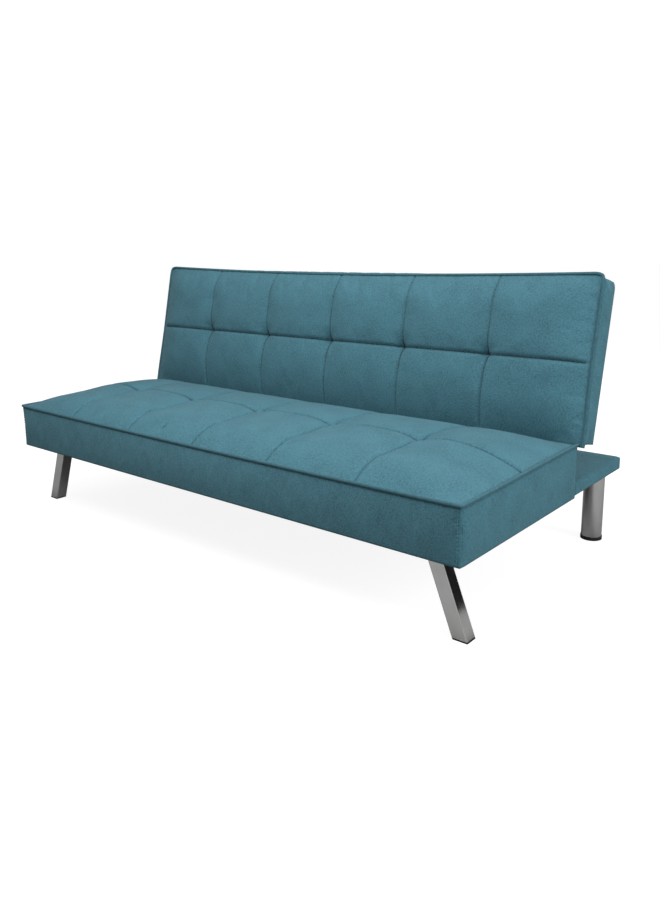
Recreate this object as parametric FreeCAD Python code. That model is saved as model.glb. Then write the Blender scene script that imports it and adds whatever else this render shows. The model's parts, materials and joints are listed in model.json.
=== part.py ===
import FreeCAD, Part
import math
import os

from FreeCAD import Vector

# Click-clack sofa bed: a one-piece quilted seat on a timber base with a low rear deck, four chrome legs,
# and a one-piece quilted back on two ratchet hinges. Millimetres, +Z up, the sitter faces -Y.
# The origin is on the floor, under the middle of the footprint.

# ---- driving dimensions ----------------------------------------------------------------------------
overall_width = 1750.0      # over the side pipings
overall_depth = 947.0       # front piping to the deck's rear edge
overall_height = 800.0      # floor to the top piping, back raised
seat_depth = 594.5          # seat cover, front face to rear face
seat_plane = 344.0          # height of the seat's piping
seat_box = 137.0            # seat's underside to its piping
deck_thickness = 36.0       # the upholstered rear deck
back_lean = 12.4            # angle of the raised back from the vertical, degrees
back_thickness = 106.0      # back cover, rear cloth to piping plane
flat_step = 13.0            # how far the flat back's piping lies above the seat's
forward_lift = 10.0         # how far the back lifts forward to release the ratchet, degrees

crown_height = 44.0         # how far the filled face stands above its piping
crown_run = 110.0           # distance from the piping to the crown's flat part
cushion_corner = 24.0       # plan radius of the cushions' corners
deck_corner = 40.0          # plan radius of the deck's rear corners
cloth = 1.5                 # cover fabric with its backing
piping_radius = 3.5
deck_gap = 1.0              # air between the flat back and the deck

board = 22.0                # thickness of the frame's boards
seat_timber = 62.0          # seat's underside to the top of its timber
deck_panel = 5.0            # hardboard on the deck's boards
deck_pad = 10.0             # foam on the hardboard
back_frame_depth = 45.0     # front-to-back size of the back's timber
mid_stile_x = 290.0         # the back's two inner uprights
leg_block = 122.0           # side of the blocks that take the legs
leg_block_height = 30.0

spring_count = 7
spring_wire = 1.9           # radius of the zigzag wire
spring_half = 26.0          # half width of a zigzag
spring_pitch = 40.0         # distance between neighbouring runs, nominal
clip_length = 28.0
clip_sheet = 1.2
felt = 3.0                  # pad between springs and foam
webbing_count = 6
webbing_width = 50.0
webbing = 2.0

front_tube = 38.0           # square tube of the front legs
tube_wall = 1.5
tube_corner = 3.0           # outer corner radius of the square tube
front_splay = 21.3          # outward lean of the front legs, degrees
front_foot_side = 39.0      # centre of a front foot from the sofa's side
front_foot_y = 86.0         # centre of a front foot from the seat's front face
front_plate = 90.0          # side of the welded top plate
plate_sheet = 3.0
cap_height = 4.0
plug_height = 14.0
rear_tube = 60.0            # diameter of the rear legs
rear_foot_side = 56.0       # rear leg's axis from the sofa's side
rear_leg_inset = 75.0       # rear leg's axis from the deck's rear edge
foot_height = 10.0
foot_lip = 1.5              # how far the rear foot stands out past its tube

hinge_sheet = 4.0           # steel of the hinge plates
hinge_play = 0.3            # side play between the plates
hinge_margin = 7.0          # bare board below the seat plate
pivot_radius = 5.0
pivot_play = 0.05           # radial running clearance of the pivot
pivot_head = 9.5            # radius of the pivot's heads
pivot_head_height = 3.0
pivot_from_seat = 22.5      # pivot axis behind the seat's rear face
pivot_below_plane = 8.0     # pivot axis below the seat's piping
back_end_from_pivot = 14.3  # pivot axis to the back's lower end
plate_eye = 13.0            # radius of the seat plate's eye
ratchet_radius = 18.0
ratchet_root = 15.0
ratchet_teeth = 5
pawl_pin_radius = 3.0
pawl_drop = 49.0            # pawl pin below the pivot
pawl_forward = 9.0          # pawl pin in front of the pivot
pawl_gap = 1.0              # lifted pawl's nose to the ratchet's tips
slot_room = 0.7             # room round steel where it passes through foam and cloth

screw_radius = 3.0
screw_head = 6.0
screw_head_height = 3.5
stud_radius = 5.0

# ---- worked-out positions --------------------------------------------------------------------------
half_width = overall_width / 2 - piping_radius
front_foot_x = overall_width / 2 - front_foot_side
rear_foot_x = overall_width / 2 - rear_foot_side
front_face = -overall_depth / 2 + piping_radius
rear_edge = overall_depth / 2
seat_rear = front_face + seat_depth
seat_bottom = seat_plane - seat_box
seat_rail_top = seat_bottom + seat_timber
back_plane = seat_plane + flat_step
back_rear = back_plane - back_thickness
deck_top = back_rear - deck_gap
deck_bottom = deck_top - deck_thickness
inner_half = half_width - cloth
board_inner = inner_half - board
rail_bottom = seat_bottom + cloth
deck_board_bottom = deck_bottom + cloth
deck_board_top = deck_top - cloth - deck_pad - deck_panel
deck_panel_top = deck_board_top + deck_panel

pivot_y = seat_rear + pivot_from_seat
pivot_z = seat_plane - pivot_below_plane
pivot = Vector(0, pivot_y, pivot_z)
flat_travel = 90.0 - back_lean
lean = math.radians(back_lean)

# the back is drawn lying flat on the deck, and is then turned up about the pivot
back_end = pivot_y + back_end_from_pivot
raised_corner = pivot_z + back_end_from_pivot * math.cos(lean) + (back_plane - pivot_z) * math.sin(lean)
back_length = (overall_height - piping_radius - raised_corner) / math.cos(lean)
back_top = back_end + back_length
back_timber = back_rear + cloth + back_frame_depth

plate_outer = board_inner
plate_inner = plate_outer - hinge_sheet
arm_outer = plate_inner - hinge_play
arm_inner = arm_outer - hinge_sheet
spring_z = seat_rail_top + clip_sheet + spring_wire
felt_bottom = spring_z + spring_wire + clip_sheet
foam_bottom = felt_bottom + felt
pawl_y = pivot_y - pawl_forward
pawl_z = pivot_z - pawl_drop
X = Vector(1, 0, 0)
Y = Vector(0, 1, 0)
Z = Vector(0, 0, 1)


# ---- shape helpers ---------------------------------------------------------------------------------
def block(x0, x1, y0, y1, z0, z1):
    """Box between two corners."""
    return Part.makeBox(x1 - x0, y1 - y0, z1 - z0, Vector(x0, y0, z0))


def rod(radius, start, direction, length):
    """Cylinder from a point along a direction."""
    return Part.makeCylinder(radius, length, start, direction)


def mirrored(shape):
    """The same piece on the other side of the middle."""
    return shape.mirror(Vector(0, 0, 0), X)


def both_sides(shape):
    """A piece and its mirror image, as one group."""
    return Part.makeCompound([shape, mirrored(shape)])


def plate(outline, x0, x1):
    """Sheet across X from an outline of (y, z) points."""
    points = [Vector(x0, y, z) for y, z in outline]
    face = Part.Face(Part.makePolygon(points + points[:1]))
    return face.extrude(X * (x1 - x0))


def plan_wire(half, y0, y1, front_radius, rear_radius, z):
    """Rectangle in plan, with its front and its rear pair of corners rounded."""
    corners = [(-half, y0, front_radius, 180), (half, y0, front_radius, 270),
               (half, y1, rear_radius, 0), (-half, y1, rear_radius, 90)]
    ends = []
    arcs = []
    for x, y, radius, start in corners:
        if radius <= 0:
            ends.append((Vector(x, y, z), Vector(x, y, z)))
            arcs.append(None)
            continue
        centre = Vector(x - math.copysign(radius, x), y + (radius if y == y0 else -radius), z)
        spots = [centre + Vector(math.cos(math.radians(start + a)), math.sin(math.radians(start + a)), 0)
                 * radius for a in (0, 45, 90)]
        ends.append((spots[0], spots[2]))
        arcs.append(Part.Arc(*spots).toShape())
    edges = []
    for index, arc in enumerate(arcs):
        if arc:
            edges.append(arc)
        edges.append(Part.LineSegment(ends[index][1], ends[(index + 1) % 4][0]).toShape())
    return Part.Wire(edges)


def slab(half, y0, y1, z0, z1, front_radius=0.0, rear_radius=0.0):
    """Flat slab with rounded corners in plan."""
    face = Part.Face(plan_wire(half, y0, y1, front_radius, rear_radius, z0))
    return face.extrude(Z * (z1 - z0))


def crown_section(low, high, base, rise, run, point):
    """Face under a crown: two arcs that climb from the edges to a flat middle."""
    radius = (run * run + rise * rise) / (2 * rise)
    half_turn = math.asin(run / radius) / 2
    across = run - radius * math.sin(half_turn)
    up = rise - radius * (1 - math.cos(half_turn))
    first = Part.Arc(point(low, base), point(low + across, base + up), point(low + run, base + rise))
    last = Part.Arc(point(high - run, base + rise), point(high - across, base + up), point(high, base))
    flat = Part.LineSegment(point(low + run, base + rise), point(high - run, base + rise))
    floor = Part.LineSegment(point(high, base), point(low, base))
    return Part.Face(Part.Wire([first.toShape(), flat.toShape(), last.toShape(), floor.toShape()]))


def crown(half, y0, y1, base, inset, front_radius, rear_radius):
    """Domed filling above a piping plane, set in by the cloth when it lies under it."""
    half = half - inset
    y0 = y0 + inset
    y1 = y1 - inset
    rise = crown_height - inset
    run = crown_run - inset
    along = crown_section(y0, y1, base, rise, run, lambda a, z: Vector(-half, a, z)).extrude(X * (2 * half))
    across = crown_section(-half, half, base, rise, run, lambda a, z: Vector(a, y0, z)).extrude(Y * (y1 - y0))
    plan = slab(half, y0, y1, base, base + rise, max(front_radius - inset, 0), max(rear_radius - inset, 0))
    return along.common(across).common(plan)


def piping(half, open_end, closed_end, base):
    """Welt cord round three sides of a cushion's face."""
    way = math.copysign(1, closed_end - open_end)
    turn = closed_end - way * cushion_corner
    bend = cushion_corner * (1 - math.cos(math.radians(45)))
    start = Vector(-half, open_end, base)
    left = Part.Arc(Vector(-half, turn, base), Vector(bend - half, closed_end - way * bend, base),
                    Vector(cushion_corner - half, closed_end, base))
    right = Part.Arc(Vector(half - cushion_corner, closed_end, base),
                     Vector(half - bend, closed_end - way * bend, base), Vector(half, turn, base))
    runs = [Part.LineSegment(start, Vector(-half, turn, base)), left,
            Part.LineSegment(Vector(cushion_corner - half, closed_end, base),
                             Vector(half - cushion_corner, closed_end, base)), right,
            Part.LineSegment(Vector(half, turn, base), Vector(half, open_end, base))]
    path = Part.Wire([run.toShape() for run in runs])
    ring = Part.Wire(Part.Circle(start, Y, piping_radius).toShape())
    return path.makePipeShell([ring], True, True)


def screw(point, direction, length, radius=screw_radius, head=screw_head, head_height=screw_head_height):
    """Round-headed screw: the head stands on the point, the shank runs along the direction."""
    shank = rod(radius, point, direction, length)
    return shank.fuse(rod(head, point, direction * -1, head_height)).removeSplitter()


def cut_all(shape, tools):
    """Cut every tool out of a shape."""
    for tool in tools:
        shape = shape.cut(tool)
    return shape


def raise_back(shape):
    """Turn a shape of the flat back up to the sitting position."""
    turned = shape.copy()
    turned.rotate(pivot, X, flat_travel)
    return turned


# ---- seat and deck timber --------------------------------------------------------------------------
def envelope(low, high):
    """Space inside the seat's and the deck's covers, with its rounded corners."""
    return slab(inner_half, front_face + cloth, rear_edge - cloth, low, high,
                cushion_corner - cloth, deck_corner - cloth)


def long_board(x0, x1):
    """Upright board that runs under the seat and on under the deck."""
    rail_front = seat_rear - cloth - board
    outline = [(front_face + cloth + board, rail_bottom), (seat_rear - cloth, rail_bottom),
               (seat_rear - cloth, deck_board_bottom), (rear_edge - cloth - board, deck_board_bottom),
               (rear_edge - cloth - board, deck_board_top), (rail_front, deck_board_top),
               (rail_front, seat_rail_top), (front_face + cloth + board, seat_rail_top)]
    return plate(outline, x0, x1).common(envelope(min(rail_bottom, deck_board_bottom), seat_rail_top))


def timber():
    """The seat's and the deck's boards, rails and leg blocks."""
    front_rail = block(-inner_half, inner_half, front_face + cloth, front_face + cloth + board,
                       rail_bottom, seat_rail_top).common(envelope(rail_bottom, seat_rail_top))
    rear_rail = block(-inner_half, inner_half, seat_rear - cloth - board, seat_rear - cloth,
                      deck_board_top, seat_rail_top)
    deck_rail = block(-inner_half, inner_half, rear_edge - cloth - board, rear_edge - cloth,
                      deck_board_bottom, deck_board_top).common(envelope(deck_board_bottom, deck_board_top))
    front_block = block(board_inner - leg_block - board, board_inner, front_face + cloth + board,
                        front_face + cloth + board + leg_block, rail_bottom, rail_bottom + leg_block_height)
    rear_block = block(board_inner - leg_block, board_inner, rear_edge - cloth - board - leg_block,
                       rear_edge - cloth - board, deck_board_bottom, deck_board_top)
    return {
        "side_board_right": long_board(board_inner, inner_half),
        "side_board_left": long_board(-inner_half, -board_inner),
        "centre_board": long_board(-board / 2, board / 2),
        "seat_front_rail": front_rail,
        "seat_rear_rail": rear_rail,
        "deck_rear_rail": deck_rail,
        "front_leg_blocks": both_sides(front_block),
        "rear_leg_blocks": both_sides(rear_block),
    }


# ---- seat suspension -------------------------------------------------------------------------------
def zigzag(x, y0, y1):
    """Flat zigzag spring wire whose end runs lie in the clips."""
    turns = max(2, 2 * round((y1 - y0) / (2 * spring_pitch)))
    pitch = (y1 - y0) / turns
    bend = pitch / 2
    edges = []
    side = 1
    start = Vector(x - spring_half, y0, spring_z)
    for index in range(turns + 1):
        y = y0 + index * pitch
        last = index == turns
        reach = spring_half if last else spring_half - bend
        end = Vector(x + side * reach, y, spring_z)
        edges.append(Part.LineSegment(start, end).toShape())
        if not last:
            start = Vector(end.x, y + pitch, spring_z)
            top = Vector(end.x + side * bend, y + bend, spring_z)
            edges.append(Part.Arc(end, top, start).toShape())
        side = -side
    ring = Part.Wire(Part.Circle(Vector(x - spring_half, y0, spring_z), X, spring_wire).toShape())
    return Part.Wire(edges).makePipeShell([ring], True, True)


def clip(x, y):
    """Steel clip that holds one end run of a spring down on its rail."""
    strap = block(x - clip_length / 2, x + clip_length / 2, y - board / 2, y + board / 2,
                  seat_rail_top, seat_rail_top + clip_sheet)
    hood = rod(spring_wire + clip_sheet, Vector(x - clip_length / 2, y, spring_z), X, clip_length)
    bore = rod(spring_wire, Vector(x - clip_length / 2, y, spring_z), X, clip_length)
    above = block(x - clip_length / 2, x + clip_length / 2, y - board / 2, y + board / 2,
                  seat_rail_top, felt_bottom)
    return strap.fuse(hood).cut(bore).common(above).removeSplitter()


def suspension():
    """Zigzag springs, their clips and the felt over them."""
    front_line = front_face + cloth + board / 2
    rear_line = seat_rear - cloth - board / 2
    spacing = 2 * board_inner / (spring_count + 1)
    places = [(index + 1) * spacing - board_inner for index in range(spring_count)]
    springs = [zigzag(x, front_line, rear_line) for x in places]
    offset = spring_half - clip_length / 2
    clips = [clip(x + side * offset, y) for x in places for side, y in ((-1, front_line), (1, rear_line))]
    pad = slab(inner_half, front_face + cloth, seat_rear - cloth, felt_bottom, foam_bottom,
               cushion_corner - cloth)
    return {
        "seat_springs": Part.makeCompound(springs),
        "seat_spring_clips": Part.makeCompound(clips),
        "seat_felt": pad,
    }


# ---- seat and deck upholstery ----------------------------------------------------------------------
def seat_upholstery():
    """Foam, top panel, boxing, piping and dust cloth of the seat."""
    cord = piping(half_width, seat_rear, front_face, seat_plane)
    dome = crown(half_width, front_face, seat_rear, seat_plane, 0, cushion_corner, 0)
    filled = crown(half_width, front_face, seat_rear, seat_plane, cloth, cushion_corner, 0)
    body = slab(inner_half, front_face + cloth, seat_rear - cloth, foam_bottom, seat_plane,
                cushion_corner - cloth)
    foam = body.fuse(filled).removeSplitter().cut(cord)
    outer = slab(half_width, front_face, seat_rear, seat_bottom, seat_plane, cushion_corner)
    hollow = slab(inner_half, front_face + cloth, seat_rear - cloth, seat_bottom, seat_plane,
                  cushion_corner - cloth)
    under_deck = block(-half_width, half_width, seat_rear - cloth, seat_rear, seat_bottom, deck_panel_top)
    dust = slab(inner_half, front_face + cloth, seat_rear - cloth, seat_bottom, rail_bottom,
                cushion_corner - cloth)
    return {
        "seat_foam": foam,
        "seat_top_cover": dome.cut(filled).cut(cord),
        "seat_boxing": outer.cut(hollow).cut(under_deck).cut(cord),
        "seat_piping": cord,
        "seat_dust_cloth": dust,
    }


def deck():
    """Hardboard, foam and wrapped cover of the rear deck."""
    panel = slab(inner_half, seat_rear - cloth, rear_edge - cloth, deck_board_top, deck_panel_top,
                 0, deck_corner - cloth)
    pad = slab(inner_half, seat_rear, rear_edge - cloth, deck_panel_top, deck_top - cloth,
               0, deck_corner - cloth)
    outer = slab(half_width, seat_rear, rear_edge, deck_bottom, deck_top, 0, deck_corner)
    hollow = envelope(deck_board_bottom, deck_top - cloth)
    return {"deck_panel": panel, "deck_pad": pad, "deck_cover": outer.cut(hollow)}


# ---- legs ------------------------------------------------------------------------------------------
def front_leg_prism(width_x, width_y, z0, z1, corner=0.0):
    """Leaning square prism between two heights, drawn on the right-hand side."""
    slope = math.tan(math.radians(front_splay))
    x = front_foot_x - slope * z0
    y = front_face + front_foot_y
    corners = [Vector(x + sx * width_x / 2, y + sy * width_y / 2, z0)
               for sx, sy in ((-1, -1), (1, -1), (1, 1), (-1, 1))]
    way = Vector(-slope * (z1 - z0), 0, z1 - z0)
    prism = Part.Face(Part.makePolygon(corners + corners[:1])).extrude(way)
    if corner > 0:
        long_edges = [edge for edge in prism.Edges if edge.tangentAt(edge.FirstParameter).cross(way).Length < 1e-6]
        prism = prism.makeFillet(corner, long_edges)
    return prism


def front_leg():
    """Splayed square tube with its welded plate, its plastic cap and its screws."""
    stretch = 1 / math.cos(math.radians(front_splay))
    inner = front_tube - 2 * tube_wall
    top = seat_bottom - plate_sheet
    tube = front_leg_prism(front_tube * stretch, front_tube, cap_height, top, tube_corner)
    bore = front_leg_prism(inner * stretch, inner, cap_height, top)
    cap = front_leg_prism(front_tube * stretch, front_tube, 0, cap_height, tube_corner)
    plug = front_leg_prism(inner * stretch, inner, cap_height, plug_height)
    x = front_foot_x - math.tan(math.radians(front_splay)) * top
    y = front_face + front_foot_y
    reach = front_plate / 2
    sheet = block(x - reach, x + reach, y - reach, y + reach, top, seat_bottom)
    hole = reach - 2 * screw_head
    length = plate_sheet + cloth + leg_block_height - 2 * screw_radius
    screws = [screw(Vector(x + sx * hole, y + sy * hole, top), Z, length)
              for sx in (-1, 1) for sy in (-1, 1)]
    return tube.cut(bore).fuse(sheet).removeSplitter(), cap.fuse(plug).removeSplitter(), screws


def rear_leg():
    """Upright round tube with its closed top, its plastic foot and its stud."""
    radius = rear_tube / 2
    base = Vector(rear_foot_x, rear_edge - rear_leg_inset, 0)
    tube = rod(radius, base + Z * foot_height, Z, deck_bottom - foot_height)
    bore = rod(radius - tube_wall, base + Z * foot_height, Z, deck_bottom - foot_height - plate_sheet)
    foot = rod(radius + foot_lip, base, Z, foot_height)
    plug = rod(radius - tube_wall, base + Z * foot_height, Z, plug_height)
    top = base + Z * (deck_bottom - plate_sheet)
    stud = screw(top, Z, deck_board_top - top.z, stud_radius, 2 * stud_radius, 2 * plate_sheet)
    return tube.cut(bore), foot.fuse(plug).removeSplitter(), stud


# ---- hinges ----------------------------------------------------------------------------------------
def hinge_seat_plate():
    """Steel plate screwed to the side board, reaching back over the rear rail to the pivot."""
    foot_front = seat_rear - cloth - board - 4 * board
    foot_rear = seat_rear - cloth - board
    foot_low = rail_bottom + hinge_margin
    web_top = seat_rail_top + 1.5 * board
    outline = [(foot_front, foot_low), (foot_rear, foot_low),
               (foot_rear, seat_rail_top + 1), (pivot_y + 6, seat_rail_top + 1),
               (pivot_y + 8, pivot_z), (pivot_y - plate_eye, pivot_z),
               (seat_rear - board / 2, web_top), (foot_front, seat_rail_top)]
    sheet = plate(outline, plate_inner, plate_outer)
    eye = rod(plate_eye, Vector(plate_inner, pivot_y, pivot_z), X, hinge_sheet)
    joined = sheet.fuse(eye).removeSplitter()
    bores = [rod(pivot_radius, Vector(plate_inner, pivot_y, pivot_z), X, hinge_sheet),
             rod(pawl_pin_radius, Vector(plate_inner, pawl_y, pawl_z), X, hinge_sheet)]
    spots = [(y, foot_low + board) for y in (foot_front + board, foot_rear - board)]
    screws = [screw(Vector(plate_inner, y, z), X, hinge_sheet + 0.8 * board) for y, z in spots]
    return cut_all(joined, bores), screws


def hinge_arm():
    """Steel arm of the flat back: ratchet round the pivot, and a foot on the back's stile."""
    timber_z = back_rear + cloth
    foot_front = back_end + cloth + board + 4
    foot_rear = foot_front + 3.5 * board
    outline = [(pivot_y + 4, pivot_z - ratchet_root), (foot_front, back_timber + 4),
               (foot_front, timber_z + 6), (foot_rear, timber_z + 6),
               (foot_rear, back_timber - 4), (foot_front + 1.5 * board, back_timber + 4),
               (back_end + 6, pivot_z + 4), (pivot_y, pivot_z + ratchet_root)]
    sheet = plate(outline, arm_inner, arm_outer)
    disc = rod(ratchet_radius, Vector(arm_inner, pivot_y, pivot_z), X, hinge_sheet)
    arm = sheet.fuse(disc).removeSplitter()
    for index in range(ratchet_teeth):
        angle = math.radians(170 + 22 * index)
        tip = Vector(arm_inner, pivot_y + ratchet_radius * math.cos(angle),
                     pivot_z + ratchet_radius * math.sin(angle))
        arm = arm.cut(rod(ratchet_radius - ratchet_root, tip, X, hinge_sheet))
    arm = arm.cut(rod(pivot_radius + pivot_play, Vector(arm_inner, pivot_y, pivot_z), X, hinge_sheet))
    spots = [foot_front + 0.8 * board, foot_rear - 0.8 * board]
    middle = (timber_z + back_timber) / 2
    screws = [screw(Vector(arm_inner, y, middle), X, hinge_sheet + 0.8 * board) for y in spots]
    return arm, screws


def hinge_pin():
    """Pivot rivet with a head on each side."""
    low = arm_inner - hinge_play
    span = plate_outer - low
    shaft = rod(pivot_radius, Vector(low, pivot_y, pivot_z), X, span)
    heads = [rod(pivot_head, Vector(low - pivot_head_height, pivot_y, pivot_z), X, pivot_head_height),
             rod(pivot_head, Vector(plate_outer, pivot_y, pivot_z), X, pivot_head_height)]
    return shaft.fuse(heads).removeSplitter()


def pawl():
    """Lifted pawl, its pin and the coil that presses it back."""
    nose = pivot_z - ratchet_radius - pawl_gap
    outline = [(pawl_y - 4.5, pawl_z), (pawl_y + 4.5, pawl_z), (pawl_y + 3.5, nose - 10),
               (pawl_y + 5, nose), (pawl_y + 1.5, nose), (pawl_y - 3, nose - 10)]
    lever = plate(outline, arm_inner, arm_outer)
    eye = rod(5.5, Vector(arm_inner, pawl_y, pawl_z), X, hinge_sheet)
    lever = lever.fuse(eye).removeSplitter()
    lever = lever.cut(rod(pawl_pin_radius + pivot_play, Vector(arm_inner, pawl_y, pawl_z), X, hinge_sheet))
    low = arm_inner - hinge_play - hinge_sheet
    pin = rod(pawl_pin_radius, Vector(low, pawl_y, pawl_z), X, plate_outer - low)
    pin = pin.fuse(rod(5.5, Vector(low - 2, pawl_y, pawl_z), X, 2)).removeSplitter()
    coil = rod(5, Vector(low, pawl_y, pawl_z), X, hinge_sheet)
    coil = coil.cut(rod(pawl_pin_radius, Vector(low, pawl_y, pawl_z), X, hinge_sheet))
    return lever, pin, coil


# ---- back ------------------------------------------------------------------------------------------
def back_pieces():
    """Timber, webbing, foam and covers of the back, drawn flat."""
    low = back_rear + cloth
    inner = slab(inner_half, back_end + cloth, back_top - cloth, low, back_plane, 0, cushion_corner - cloth)
    top_rail = block(-inner_half, inner_half, back_top - cloth - board, back_top - cloth, low, back_timber)
    end_rail = block(-inner_half, inner_half, back_end + cloth, back_end + cloth + board, low, back_timber)
    stile = block(arm_outer, inner_half, back_end + cloth + board, back_top - cloth - board,
                  low, back_timber)
    mid = block(mid_stile_x - board / 2, mid_stile_x + board / 2, back_end + cloth + board,
                back_top - cloth - board, low, back_timber)
    spacing = 2 * arm_inner / webbing_count
    straps = [block(x - webbing_width / 2, x + webbing_width / 2, back_end + cloth, back_top - cloth,
                    back_timber, back_timber + webbing)
              for x in ((index + 0.5) * spacing - arm_inner for index in range(webbing_count))]
    cord = piping(half_width, back_end, back_top, back_plane)
    dome = crown(half_width, back_end, back_top, back_plane, 0, 0, cushion_corner)
    filled = crown(half_width, back_end, back_top, back_plane, cloth, 0, cushion_corner)
    body = slab(inner_half, back_end + cloth, back_top - cloth, back_timber + webbing, back_plane,
                0, cushion_corner - cloth)
    outer = slab(half_width, back_end, back_top, back_rear, back_plane, 0, cushion_corner)
    hollow = slab(inner_half, back_end + cloth, back_top - cloth, back_rear, back_plane,
                  0, cushion_corner - cloth)
    rear = slab(inner_half, back_end + cloth, back_top - cloth, back_rear, low, 0, cushion_corner - cloth)
    return {
        "back_top_rail": top_rail.common(inner),
        "back_end_rail": end_rail.common(inner),
        "back_stile_right": stile.common(inner),
        "back_stile_left": mirrored(stile.common(inner)),
        "back_mid_stiles": both_sides(mid),
        "back_webbing": Part.makeCompound(straps),
        "back_foam": body.fuse(filled).removeSplitter().cut(cord),
        "back_front_cover": dome.cut(filled).cut(cord),
        "back_boxing": outer.cut(hollow).cut(cord),
        "back_rear_cloth": rear,
        "back_piping": cord,
    }


# ---- assembly --------------------------------------------------------------------------------------
def build():
    """Every node by name, with the holes and slots that its neighbours need."""
    nodes = {}
    nodes.update(timber())
    nodes.update(suspension())
    nodes.update(seat_upholstery())
    nodes.update(deck())

    leg, cap, leg_screws = front_leg()
    leg = cut_all(leg, leg_screws)
    post, foot, stud = rear_leg()
    nodes["front_leg_right"] = leg
    nodes["front_leg_left"] = mirrored(leg)
    nodes["front_leg_caps"] = both_sides(cap)
    nodes["front_leg_screws"] = Part.makeCompound(leg_screws + [mirrored(part) for part in leg_screws])
    nodes["rear_leg_right"] = post.cut(stud)
    nodes["rear_leg_left"] = mirrored(post.cut(stud))
    nodes["rear_leg_feet"] = both_sides(foot)
    nodes["rear_leg_studs"] = both_sides(stud)

    seat_plate, plate_screws = hinge_seat_plate()
    nodes["hinge_plate_right"] = cut_all(seat_plate, plate_screws)
    nodes["hinge_plate_left"] = mirrored(nodes["hinge_plate_right"])
    nodes["hinge_plate_screws"] = Part.makeCompound(plate_screws + [mirrored(part) for part in plate_screws])
    nodes["hinge_pins"] = both_sides(hinge_pin())
    lever, pin, coil = pawl()
    nodes["pawl_right"] = lever
    nodes["pawl_left"] = mirrored(lever)
    nodes["pawl_pins"] = both_sides(pin)
    nodes["pawl_coils"] = both_sides(coil)

    arm, arm_screws = hinge_arm()
    back = back_pieces()
    back["hinge_arm_right"] = cut_all(arm, arm_screws)
    back["hinge_arm_left"] = mirrored(back["hinge_arm_right"])
    back["hinge_arm_screws"] = Part.makeCompound(arm_screws + [mirrored(part) for part in arm_screws])

    # screws and studs bed in what they hold
    for name in ("front_leg_blocks", "seat_dust_cloth"):
        nodes[name] = nodes[name].cut(nodes["front_leg_screws"])
    for name in ("rear_leg_blocks", "deck_cover"):
        nodes[name] = nodes[name].cut(nodes["rear_leg_studs"])
    for name in ("side_board_right", "side_board_left"):
        nodes[name] = nodes[name].cut(nodes["hinge_plate_screws"])
    for name in ("back_stile_right", "back_stile_left"):
        back[name] = back[name].cut(back["hinge_arm_screws"])

    # slots let the hinge steel through foam, felt and cloth
    room = slot_room
    plate_slot = block(plate_inner - room, plate_outer + room, seat_rear - cloth - 6 * board, seat_rear + room,
                       seat_rail_top, pivot_z)
    for name in ("seat_felt", "seat_foam", "seat_boxing"):
        nodes[name] = cut_all(nodes[name], [plate_slot, mirrored(plate_slot)])
    arm_slot = block(arm_inner - screw_head_height - room, arm_outer + room, back_end - room,
                     back_end + cloth + board + 4 + 3.5 * board + room, back_timber - room, pivot_z + 12)
    for name in ("back_foam", "back_boxing"):
        back[name] = cut_all(back[name], [arm_slot, mirrored(arm_slot)])

    for name, shape in back.items():
        nodes[name] = raise_back(shape)
    return nodes


def save(nodes):
    """Write one STEP file per node."""
    os.makedirs("parts", exist_ok=True)
    for name, shape in nodes.items():
        solids = shape.Solids
        group = solids[0] if len(solids) == 1 else Part.makeCompound(solids)
        group.exportStep(os.path.join("parts", name + ".step"))
        print(name, len(solids), "solid(s)", round(shape.Volume / 1000), "cm3", "valid", group.isValid())


save(build())
print("pivot", round(pivot_y, 2), round(pivot_z, 2), "back length", round(back_length, 1), "travel", flat_travel)
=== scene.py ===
import json
import logging
import math
from collections.abc import Callable
from dataclasses import dataclass
from enum import Enum

import bmesh
import bpy
from mathutils import Matrix, Vector


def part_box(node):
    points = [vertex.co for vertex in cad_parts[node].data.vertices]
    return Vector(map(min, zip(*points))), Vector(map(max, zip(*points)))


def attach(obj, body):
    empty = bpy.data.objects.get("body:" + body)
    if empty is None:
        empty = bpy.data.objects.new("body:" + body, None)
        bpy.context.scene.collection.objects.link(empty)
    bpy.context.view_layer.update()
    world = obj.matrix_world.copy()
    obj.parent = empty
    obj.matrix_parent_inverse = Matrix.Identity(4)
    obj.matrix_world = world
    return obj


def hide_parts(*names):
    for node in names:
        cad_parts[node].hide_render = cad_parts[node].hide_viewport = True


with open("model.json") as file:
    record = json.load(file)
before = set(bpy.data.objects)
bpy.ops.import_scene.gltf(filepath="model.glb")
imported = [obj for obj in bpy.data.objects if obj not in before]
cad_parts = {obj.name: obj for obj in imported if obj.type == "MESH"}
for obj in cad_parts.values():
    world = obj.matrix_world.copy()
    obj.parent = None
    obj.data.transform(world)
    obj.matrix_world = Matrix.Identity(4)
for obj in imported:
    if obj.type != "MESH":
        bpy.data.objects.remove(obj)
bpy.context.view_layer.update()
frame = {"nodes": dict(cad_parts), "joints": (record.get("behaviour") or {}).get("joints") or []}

log = logging.getLogger("sofa_bed")

PIPING_RADIUS = 0.0045
TUFT_PITCH_SHARE = 1 / 3      # spacing of the tufts as a share of the half width
COLUMNS_PER_PILLOW = 32
PILLOW_COLUMNS = 6


# ---- small tools -----------------------------------------------------------------------------------
def joint_named(name: str) -> dict:
    """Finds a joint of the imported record.

    Args:
        name: the joint's name.

    Returns:
        The joint's own entry, with its position, axis and range.
    """
    return next(joint for joint in frame["joints"] if joint["name"] == name)


def smooth_step(value: float) -> float:
    """Eases a number between 0 and 1."""
    value = min(max(value, 0.0), 1.0)
    return value * value * (3 - 2 * value)


def crown_profile(distance: float, run: float) -> float:
    """Height share of a filled edge, from 0 at the piping to 1 past the run."""
    reach = min(max(distance / run, 0.0), 1.0)
    return 1 - (1 - reach) ** 2


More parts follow.
